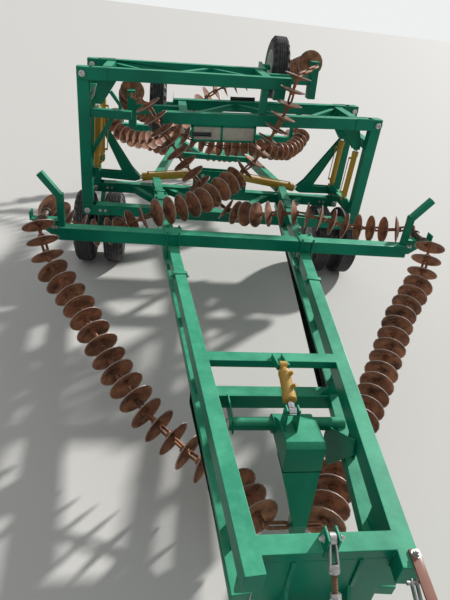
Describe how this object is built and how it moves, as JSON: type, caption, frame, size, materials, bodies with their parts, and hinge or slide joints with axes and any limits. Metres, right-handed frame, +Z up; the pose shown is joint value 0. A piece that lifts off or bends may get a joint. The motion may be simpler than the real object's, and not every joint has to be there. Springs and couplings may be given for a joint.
{
  "type": "disc chain harrow",
  "caption": "Trailed harrow that pulls chains of dished discs, with both wings folded up and in over a braced centre frame for the road, on twin wheels and a parking jack.",
  "frame": {"origin": "on the ground, midway between the front of the hitch eye and the rear edge of the rear gangs, on the centre plane", "axes": "+X to the machine's right, +Y to its rear, +Z up"},
  "size_m": [4.0732, 10.35, 2.9212],
  "materials": {
    "green": "satin paint, dusty",
    "yellow": "gloss paint",
    "rust": "rusted, bare",
    "steel": "zinc plated",
    "chrome": "polished",
    "tyre": "worn, dusty",
    "rim": "grey paint",
    "board": "matt, plain"
  },
  "bodies": {
    "chassis": {"drawbar_upper": "green", "drawbar_lower": "green", "tongue": "green", "turnbuckle": "steel", "jack_sleeve": "steel", "centre_frame": "green", "fold_bracket": "green", "front_boom": "green", "rear_boom": "green", "rear_frame": "green", "axle_frame": "green", "inner_wing_right": "green", "outer_wing_right": "green", "fold_barrel_right": "yellow", "fold_rod_right": "chrome", "tip_barrels_right": "yellow", "tip_rods_right": "chrome", "front_gangs": "rust", "rear_gangs": "rust", "front_gang_left": "rust", "front_gang_right": "rust", "rear_gang_left": "rust", "rear_gang_right": "rust", "marker_board": "board"},
    "wing_in_left": {"inner_wing_left": "green"},
    "wing_out_left": {"outer_wing_left": "green"},
    "wheels_left": {"tyres_left": "tyre", "rims_left": "rim"},
    "wheels_right": {"tyres_right": "tyre", "rims_right": "rim"},
    "wing_wheel_left": {"wing_tyre_left": "tyre", "wing_rim_left": "rim"},
    "wing_wheel_right": {"wing_tyre_right": "tyre", "wing_rim_right": "rim"},
    "fold_barrel_left": {"fold_barrel_left": "yellow"},
    "fold_rod_left": {"fold_rod_left": "chrome"},
    "tip_barrels_left": {"tip_barrels_left": "yellow"},
    "tip_rods_left": {"tip_rods_left": "chrome"},
    "lift_arm": {"lift_arm": "green"},
    "lift_barrel": {"lift_barrel": "yellow"},
    "lift_rod": {"lift_rod": "chrome"},
    "jack_leg": {"jack_leg": "steel"}
  },
  "joints": [
    {"name": "left_wheels_spin", "type": "hinge", "parent": "chassis", "child": "wheels_left", "pos_m": [-1.595, 0.812, 0.465], "axis": [1, 0, 0], "continuous": true},
    {"name": "right_wheels_spin", "type": "hinge", "parent": "chassis", "child": "wheels_right", "pos_m": [1.595, 0.812, 0.465], "axis": [1, 0, 0], "continuous": true},
    {"name": "left_wing_fold", "type": "hinge", "parent": "chassis", "child": "wing_in_left", "pos_m": [-1.6875, 0.812, 0.8875], "axis": [0, -1, 0], "range_deg": [0, 90]},
    {"name": "left_tip_fold", "type": "hinge", "parent": "wing_in_left", "child": "wing_out_left", "pos_m": [-1.6875, 0.812, 2.4075], "axis": [0, -1, 0], "range_deg": [0, 87.7]},
    {"name": "left_wing_wheel_spin", "type": "hinge", "parent": "wing_out_left", "child": "wing_wheel_left", "pos_m": [0.64562, 1.577, 2.54121], "axis": [1, 0, 0], "continuous": true},
    {"name": "right_wing_wheel_spin", "type": "hinge", "parent": "chassis", "child": "wing_wheel_right", "pos_m": [-0.89396, 1.577, 1.96221], "axis": [1, 0, 0], "continuous": true},
    {"name": "left_fold_ram_swing", "type": "hinge", "parent": "chassis", "child": "fold_barrel_left", "pos_m": [-0.25, 1.237, 1.15], "axis": [0, -1, 0], "range_deg": [-18, 2]},
    {"name": "left_fold_ram_stroke", "type": "slide", "parent": "fold_barrel_left", "child": "fold_rod_left", "axis": [-0.9926, 0, -0.1213], "range_m": [0, 0.72]},
    {"name": "left_tip_ram_swing", "type": "hinge", "parent": "wing_in_left", "child": "tip_barrels_left", "pos_m": [-1.59, 0.812, 1.3275], "axis": [0, -1, 0], "range_deg": [-9, 1]},
    {"name": "left_tip_ram_stroke", "type": "slide", "parent": "tip_barrels_left", "child": "tip_rods_left", "axis": [0.0394, 0, 0.9992], "range_m": [0, 0.43]},
    {"name": "front_lift", "type": "hinge", "parent": "chassis", "child": "lift_arm", "pos_m": [0.105, -3.125, 0.8], "axis": [1, 0, 0], "range_deg": [0, 20]},
    {"name": "lift_ram_swing", "type": "hinge", "parent": "chassis", "child": "lift_barrel", "pos_m": [0.03, -2.925, 1.14], "axis": [1, 0, 0], "range_deg": [0, 7]},
    {"name": "lift_ram_stroke", "type": "slide", "parent": "lift_barrel", "child": "lift_rod", "axis": [0, -0.9749, -0.2228], "range_m": [0, 0.1]},
    {"name": "jack_stroke", "type": "slide", "parent": "chassis", "child": "jack_leg", "axis": [0, 0, 1], "range_m": [0, 0.25]}
  ],
  "couplings": [
    {"joint": "left_fold_ram_swing", "follows": "left_wing_fold", "ratio": -0.18645},
    {"joint": "left_fold_ram_stroke", "follows": "left_wing_fold", "m_per_rad": 0.45003},
    {"joint": "left_tip_ram_swing", "follows": "left_tip_fold", "ratio": -0.07705},
    {"joint": "left_tip_ram_stroke", "follows": "left_tip_fold", "m_per_rad": 0.27074},
    {"joint": "lift_ram_swing", "follows": "front_lift", "ratio": 0.30007},
    {"joint": "lift_ram_stroke", "follows": "front_lift", "m_per_rad": 0.27298}
  ]
}
